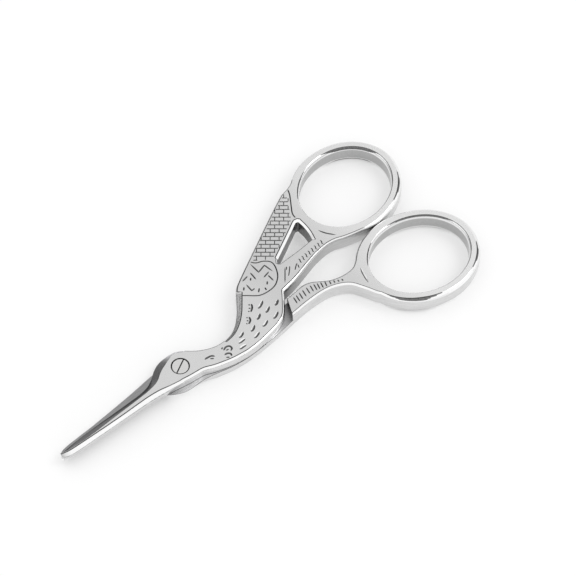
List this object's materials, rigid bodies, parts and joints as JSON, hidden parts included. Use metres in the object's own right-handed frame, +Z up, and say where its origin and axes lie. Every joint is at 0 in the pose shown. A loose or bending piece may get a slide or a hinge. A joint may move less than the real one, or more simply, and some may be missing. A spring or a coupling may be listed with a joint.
{
  "type": "stork embroidery scissors",
  "caption": "Slim sharp-pointed steel embroidery scissors in the shape of a stork, with its beak as the blades and two oval finger rings.",
  "frame": {"origin": "on the pivot axis, in the plane of the table that the closed scissors lie on", "axes": "+X along the scissors from the pivot to the finger rings, with the tips at -X; +Y towards the front half's ring; +Z up out of the table, along the pivot"},
  "size_m": [0.0922, 0.0432, 0.004],
  "materials": {
    "polished_steel": "bright nickel-plated, softly brushed on the faces, polished on the rounded edges",
    "screw_steel": "satin, turned face"
  },
  "bodies": {
    "back": {"back_half": "polished_steel", "pivot_screw": "screw_steel"},
    "front": {"front_half": "polished_steel"}
  },
  "joints": [
    {"name": "blade_pivot", "type": "hinge", "parent": "back", "child": "front", "pos_m": [0, 0, 0.003], "axis": [0, 0, 1], "range_deg": [0, 60]}
  ]
}
